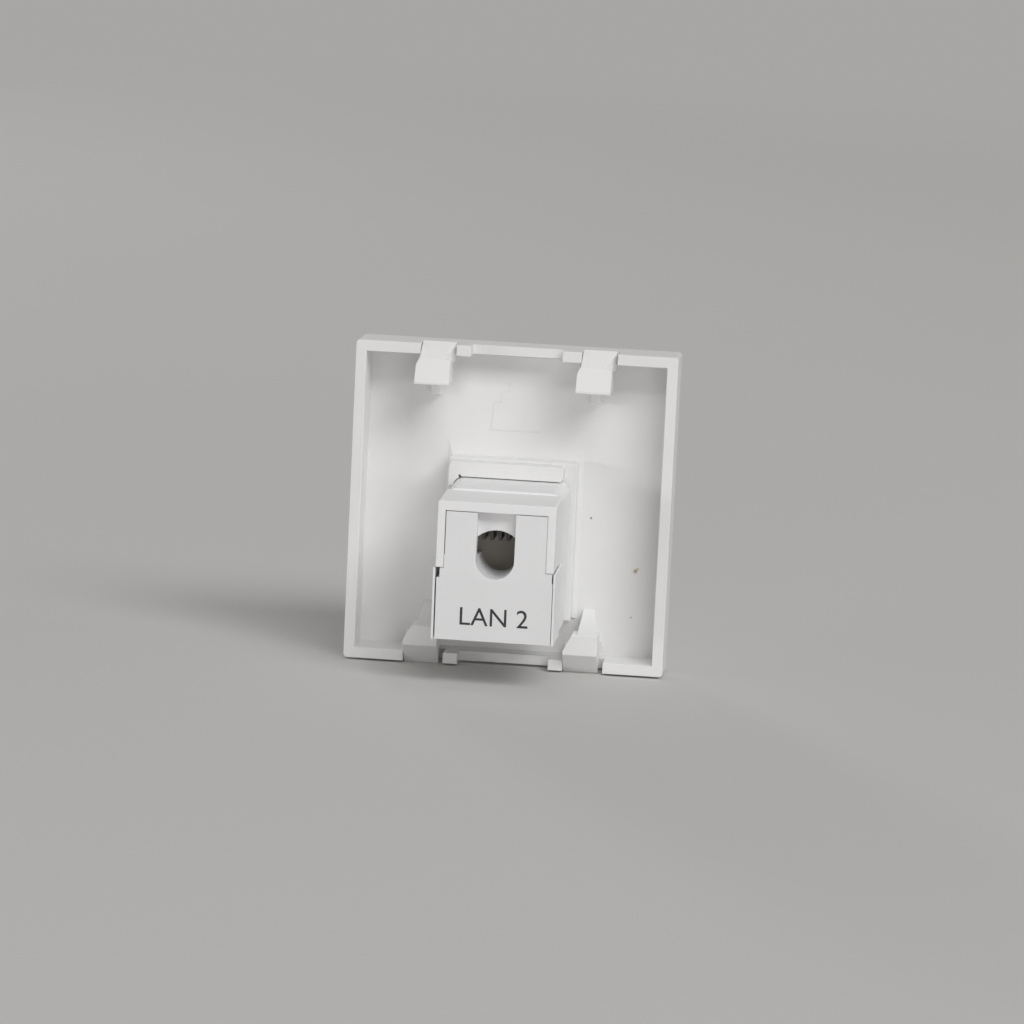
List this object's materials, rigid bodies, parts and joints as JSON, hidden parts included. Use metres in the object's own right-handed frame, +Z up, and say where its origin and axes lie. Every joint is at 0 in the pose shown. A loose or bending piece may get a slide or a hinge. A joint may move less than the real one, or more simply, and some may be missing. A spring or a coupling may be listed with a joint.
{
  "type": "ethernet socket module",
  "caption": "Square snap-in wall plate module: a shallow tray with moulded clips round a box-shaped ethernet jack, whose wire cap slides off the back over the cable comb.",
  "frame": {"origin": "middle of the square front face", "axes": "-Y out of the front face towards the person plugging in, +Y to the back where the cable enters, +Z up"},
  "size_m": [0.05, 0.0276, 0.0506],
  "materials": {
    "plate_plastic": "satin",
    "jack_plastic": "satin",
    "cap_plastic": "satin",
    "carrier_plastic": "matte",
    "comb_plastic": "satin",
    "board": "satin",
    "contact_metal": "polished",
    "blade_metal": "satin"
  },
  "bodies": {
    "module": {"module_plate": "plate_plastic", "jack_body": "jack_plastic", "contact_carrier": "carrier_plastic", "idc_block": "comb_plastic", "circuit_board": "board", "contact_pin_1": "contact_metal", "contact_pin_2": "contact_metal", "contact_pin_3": "contact_metal", "contact_pin_4": "contact_metal", "contact_pin_5": "contact_metal", "contact_pin_6": "contact_metal", "contact_pin_7": "contact_metal", "contact_pin_8": "contact_metal", "idc_blade_1": "blade_metal", "idc_blade_2": "blade_metal", "idc_blade_3": "blade_metal", "idc_blade_4": "blade_metal", "idc_blade_5": "blade_metal", "idc_blade_6": "blade_metal", "idc_blade_7": "blade_metal", "idc_blade_8": "blade_metal"},
    "cap": {"wire_cap": "cap_plastic"}
  },
  "joints": [
    {"name": "cap_slide", "type": "slide", "parent": "module", "child": "cap", "axis": [0, 1, 0], "range_m": [0, 0.013]}
  ]
}
